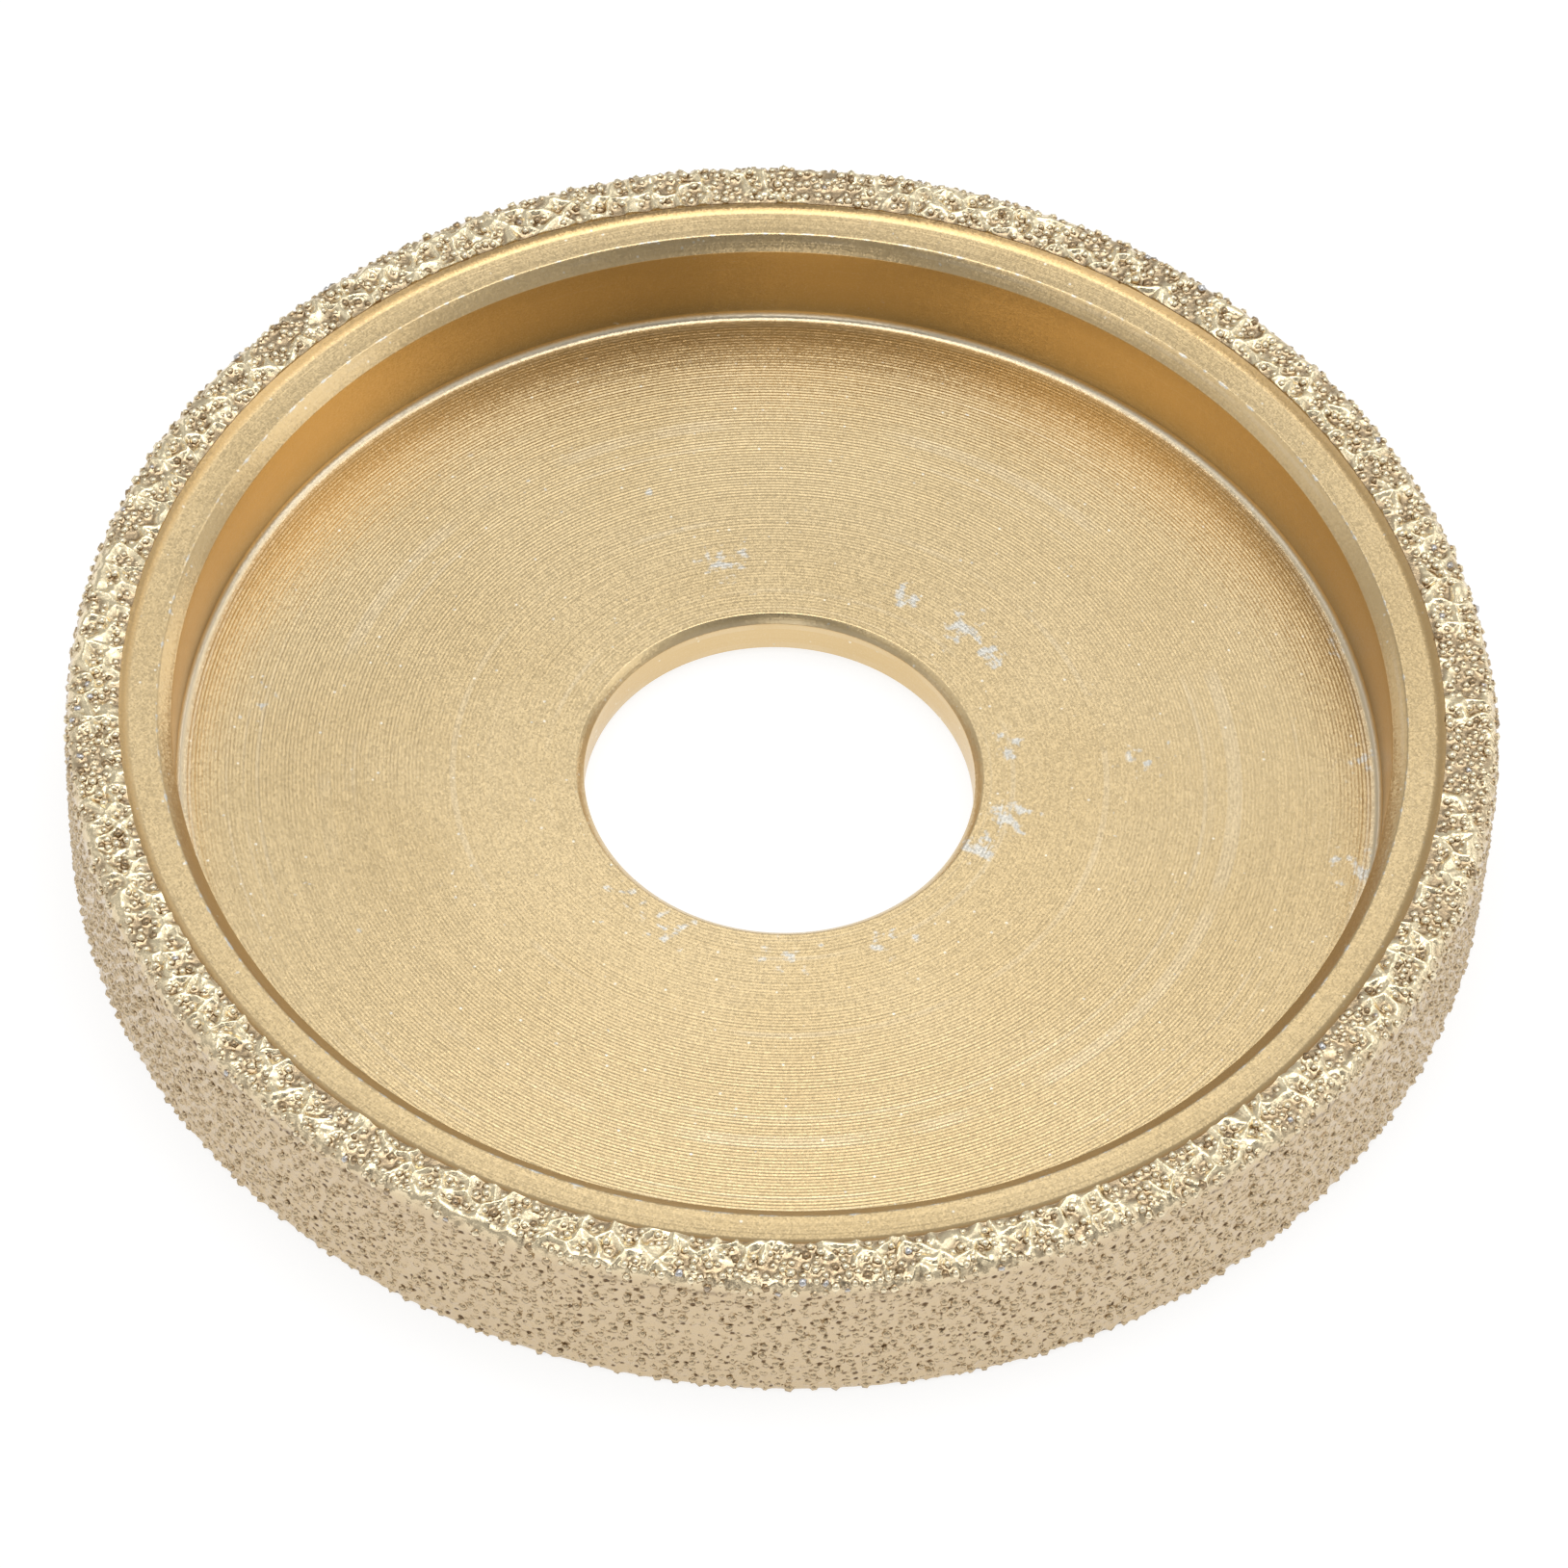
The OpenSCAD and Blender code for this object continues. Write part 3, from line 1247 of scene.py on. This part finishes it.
@dataclass
class BrazeSkin:
    """One ring of the braze, as a closed shell whose outside follows the relief."""

    name: str
    layout: GritLayout
    start: float
    stop: float
    steps: int = 2304
    pitch: float = 0.12
    inset: float = 0.17
    inner_rows: int = 3

    def section(self) -> list[Point]:
        """The shell's section: the fine outside, then a plain inside a little under the mean surface.

        Returns:
            The points, in order.
        """
        path = self.layout.path
        count = round((self.stop - self.start) / self.pitch)
        along = np.linspace(self.start, self.stop, count + 1)
        r, z, _, _ = path.at(along)
        outside = list(zip(r.tolist(), z.tolist()))
        few = np.linspace(self.stop, self.start, self.inner_rows)
        r, z, out, up = path.at(few)
        inside = list(zip((r - out * self.inset).tolist(), (z - up * self.inset).tolist()))
        return outside + inside

    def strip_place(self, co: Array) -> tuple[Array, Array, Array]:
        """Find each vertex on the developed strip.

        Args:
            co: The vertices, in millimetres.

        Returns:
            Distance along the strip, distance round it, and how far each lies below the mean surface.
        """
        path = self.layout.path
        radius, angle = polar(co)
        around = (angle % TURN) / TURN * self.layout.girth
        fine = np.linspace(self.start, self.stop, 4001)
        r, z, _, _ = path.at(fine)
        key = np.round(np.stack([radius, co[:, 2]], 1), 3)
        places, index = np.unique(key, axis=0, return_inverse=True)
        index = index.ravel()
        reach = np.hypot(places[:, :1] - r[None], places[:, 1:] - z[None])
        best = reach.argmin(1)
        return fine[best][index], around, reach.min(1)[index]

    def normals(self, along: Array, around: Array, below: Array) -> list[list[float]]:
        """Normals of the relief, the same on both sides of the line where two rings meet.

        Args:
            along: Each vertex's distance along the strip.
            around: Its distance round the strip.
            below: How far it lies below the mean surface.

        Returns:
            One normal for each vertex, and none, as zeros, on the shell's hidden inside.
        """
        step = self.pitch / 2
        angle = around / self.layout.girth * TURN
        grid, read = self.layout.rise, self.layout.sample
        slope_a = (read(grid, along + step, around) - read(grid, along - step, around)) / (2 * step)
        slope_u = (read(grid, along, around + step) - read(grid, along, around - step)) / (2 * step)
        _, _, out, up = self.layout.path.at(along)
        made = around_axis(out - slope_a * up, -slope_u, up + slope_a * out, angle)
        made /= np.linalg.norm(made, axis=1)[:, None]
        made[below > 0.02] = 0
        return made.tolist()

    def build(self, material: bpy.types.Material) -> None:
        """Turn the shell, raise its outside and dress it.

        Args:
            material: The braze's material.
        """
        piece = lathe(self.name, self.section(), self.steps, 32)
        co = vertex_array(piece.data)
        along, around, below = self.strip_place(co)
        _, _, out, up = self.layout.path.at(along)
        lift = np.where(below < 0.02, self.layout.sample(self.layout.rise, along, around), 0.0)
        co += around_axis(lift * out, np.zeros(len(co)), lift * up, polar(co)[1])
        co[:, 2] = np.maximum(co[:, 2], 0.0)
        set_vertices(piece.data, co)
        # the pit layer is painted shade
        grids = {"rise": self.layout.rise, "pit": self.layout.shade, "side": self.layout.on_side}
        for name, grid in grids.items():
            paint(piece.data, name, self.layout.sample(grid, along, around))
        bpy.ops.object.shade_smooth()
        piece.data.normals_split_custom_set_from_vertices(self.normals(along, around, below))
        finish_piece(piece, material, "nickel_braze", "braze_layer")


@dataclass
class CrystalSet:
    """All the crystals of one band, as separate closed solids in one mesh."""

    band: Band
    layout: GritLayout
    luck: dict[Band, float] = field(default_factory=lambda: {
        Band.FACE: 0.97,
        Band.SHOULDER: 1.0,
        Band.SIDE: 0.76,
    })
    proud: dict[Band, Point] = field(default_factory=lambda: {
        Band.FACE: (-0.16, -0.06),
        Band.SHOULDER: (-0.16, -0.06),
        Band.SIDE: (-0.17, -0.09),
    })

    def pattern(self) -> tuple[Array, Array]:
        """Model one crystal: a cube whose corners are cut back until the cuts meet.

        Returns:
            Its vertices, about its middle and one unit wide, and its triangles.
        """
        deselect_all()
        bpy.ops.mesh.primitive_cube_add(size=1)
        seed = bpy.context.object
        bpy.ops.object.mode_set(mode="EDIT")
        bpy.ops.mesh.select_all(action="SELECT")
        bpy.ops.mesh.bevel(offset=0.5, segments=1, affect="VERTICES")
        bpy.ops.mesh.select_all(action="SELECT")
        bpy.ops.mesh.remove_doubles(threshold=1e-3)
        bpy.ops.mesh.quads_convert_to_tris()
        bpy.ops.mesh.normals_make_consistent(inside=False)
        bpy.ops.object.mode_set(mode="OBJECT")
        corners = np.array([v.co for v in seed.data.vertices])
        faces = np.array([p.vertices for p in seed.data.polygons])
        bpy.data.meshes.remove(seed.data)
        return corners, faces

    def build(self, material: bpy.types.Material) -> None:
        """Copy the crystal to every place in the band, turned and sized at random.

        Args:
            material: The crystals' material.
        """
        lay, path = self.layout, self.layout.path
        pick = np.array([path.band(a) is self.band for a in lay.along])
        along, around, width = lay.along[pick], lay.around[pick], lay.width[pick]
        rng = np.random.default_rng(1000 + len(along))
        corners, faces = self.pattern()
        r, z, out, up = path.at(along)
        proud = rng.uniform(*self.proud[self.band], len(along))
        lift = lay.sample(lay.rise, along, around) + proud
        angle = around / lay.girth * TURN
        level = np.zeros(len(along))
        middle = around_axis(r + out * lift, level, z + up * lift, angle)
        outward = around_axis(out, level, up, angle)
        turned = np.empty((len(along), len(corners), 3))
        for i, spin in enumerate(rng.normal(size=(len(along), 4))):
            turn = np.array(Quaternion(spin).normalized().to_matrix())
            stretch = rng.uniform(0.85, 1.1, 3)
            turned[i] = middle[i] + (corners * stretch * width[i]) @ turn.T
        stand = np.einsum("ijk,ik->ij", turned - middle[:, None], outward) + proud[:, None]
        co = turned.reshape(-1, 3)
        co[:, :2] *= np.minimum(1.0, path.sizes.wheel_r / polar(co)[0])[:, None]
        co[:, 2] = np.clip(co[:, 2], 0.0, path.sizes.wheel_t)
        index = (faces[None] + (np.arange(len(along)) * len(corners))[:, None, None]).reshape(-1, 3)
        mesh = bpy.data.meshes.new(self.band.value)
        mesh.from_pydata((co * MM).tolist(), [], index.tolist())
        mesh.update()
        piece = bpy.data.objects.new(self.band.value.replace("grit", "crystals"), mesh)
        bpy.context.scene.collection.objects.link(piece)
        paint(mesh, "luck", (rng.random(len(along)) * self.luck[self.band]).repeat(len(corners)))
        paint(mesh, "stand", stand.ravel())
        paint(mesh, "side", np.full(len(co), float(self.band is Band.SIDE)))
        mesh.shade_smooth()
        finish_piece(piece, material, "diamond_crystal", self.band.value)


@dataclass
class BrazedAbrasive:
    """The whole abrasive layer: the braze in three rings and the crystals in three bands."""

    sizes: WheelSizes

    def build(self) -> None:
        """Lay out the crystals, then make the braze round them and the crystals themselves."""
        path = RimPath(self.sizes)
        layout = GritLayout(path)
        braze = LacqueredBraze().material("lacquered_braze")
        middle = (layout.top + path.length) / 2
        rings = (
            BrazeSkin("braze_face", layout, 0.0, layout.top, pitch=0.105),
            BrazeSkin("braze_side_upper", layout, layout.top, middle, 2048),
            BrazeSkin("braze_side_lower", layout, middle, path.length, 2048),
        )
        for ring in rings:
            ring.build(braze)
        crystal = CrystalFinish().material("diamond_crystal")
        for band in Band:
            CrystalSet(band, layout).build(crystal)


# ---- studio


@dataclass(frozen=True)
class Softbox:
    """A square area light one metre from the wheel, facing it.

    Bearings run in degrees from +X towards +Y, and elevations in degrees above the floor. The size is
    the side in metres, and a brightness of 1 makes the light's face look a fully lit white.
    """

    name: str
    bearing: float
    elevation: float
    size: float
    brightness: float

    def hang(self) -> None:
        """Add the light to the scene, out of the camera's sight."""
        b, e = math.radians(self.bearing), math.radians(self.elevation)
        toward = Vector((math.cos(b) * math.cos(e), math.sin(b) * math.cos(e), math.sin(e)))
        data = bpy.data.lights.new(self.name, "AREA")
        data.size = self.size
        data.energy = self.brightness * math.pi * self.size**2
        lamp = bpy.data.objects.new(self.name, data)
        lamp.matrix_world = Matrix.Translation(toward) @ toward.to_track_quat("Z", "Y").to_matrix().to_4x4()
        lamp.visible_camera = False
        bpy.context.scene.collection.objects.link(lamp)


@dataclass
class Studio:
    """A pale floor, soft lights and the camera."""

    elevation: float = 52.07
    roll: float = 3.03
    distance: float = 480.2
    lens: float = 196.1
    aim_right: float = 0.23
    aim_up: float = -0.71
    aim_z: float = 3.0
    floor_glow: float = 0.8
    room_glow: float = 0.48
    camera_side: float = 0.25
    dark_above: float = 4.0
    dark_angles: Point = (38.0, 12.0)
    softboxes: tuple[Softbox, ...] = (
        Softbox("overhead", 90, 89, 0.6, 2.10),
        Softbox("back", 90, 65, 0.5, 0.95),
        Softbox("back_right", 30, 58, 0.55, 0.75),
        Softbox("front_left", 210, 58, 0.55, 0.72),
        Softbox("front", 270, 32, 0.35, 1.10),
        Softbox("right", 0, 33, 0.5, 0.95),
        Softbox("right_behind", 60, 33, 0.5, 0.35),
        Softbox("left", 180, 33, 0.5, 0.35),
        Softbox("low_right", 38, 8, 0.3, 1.30),
        Softbox("low_left", 142, 8, 0.3, 0.60),
    )

    def camera(self) -> None:
        """Place the camera on its viewing direction, rolled a little about it."""
        e, roll = math.radians(self.elevation), math.radians(self.roll)
        back = Vector((0, -math.cos(e), math.sin(e)))
        level = Vector((1, 0, 0))
        rise = back.cross(level)
        right = level * math.cos(roll) + rise * math.sin(roll)
        up = rise * math.cos(roll) - level * math.sin(roll)
        place = right * self.aim_right + up * self.aim_up + back * self.distance
        place.z += self.aim_z
        data = bpy.data.cameras.new("camera")
        data.lens = self.lens
        data.clip_start, data.clip_end = 0.01, 10
        eye = bpy.data.objects.new("camera", data)
        turn = Matrix((right, up, back)).transposed().to_4x4()
        eye.matrix_world = Matrix.Translation(place * MM) @ turn
        bpy.context.scene.collection.objects.link(eye)
        bpy.context.scene.camera = eye

    def floor(self) -> None:
        """Lay the pale floor that the wheel lies on."""
        deselect_all()
        bpy.ops.mesh.primitive_plane_add(size=6)
        ground = bpy.context.object
        ground.name = "floor"
        r = Recipe("pale_floor")
        r.fill(base_color=(0.3, 0.3, 0.3, 1), roughness=0.9, specular_ior_level=0.1)
        r.fill(emission_color=(1, 1, 1, 1), emission_strength=self.floor_glow)
        ground.data.materials.append(r.material)

    def room(self) -> None:
        """Light the room evenly and softly, and leave it darker round the camera."""
        world = bpy.data.worlds.new("studio")
        world.use_nodes = True
        nodes = NodeTree(world.node_tree)
        background = world.node_tree.nodes["Background"]
        background.inputs["Color"].default_value = (1, 1, 1, 1)
        e = math.radians(self.elevation + self.dark_above)
        place = nodes.node("ShaderNodeTexCoord").outputs["Generated"]
        facing = nodes.vector("DOT_PRODUCT", place, (0, -math.cos(e), math.sin(e)))
        edge, middle = (math.cos(math.radians(angle)) for angle in self.dark_angles)
        ends = (self.room_glow, self.room_glow * self.camera_side)
        nodes.link(nodes.ramp(facing, edge, middle, ends), background.inputs["Strength"])
        bpy.context.scene.world = world

    def build(self) -> None:
        """Set up the whole studio."""
        self.room()
        bpy.context.scene.view_settings.view_transform = "Standard"
        self.camera()
        self.floor()
        for box in self.softboxes:
            box.hang()


def main() -> None:
    """Build the wheel's pieces in order, and the studio round them."""
    logging.basicConfig(level=logging.INFO, format="%(message)s")
    sizes = WheelSizes.from_frame()
    Studio().build()
    TurnedCore(sizes).build()
    BrazedAbrasive(sizes).build()


if __name__ == "__main__":
    main()
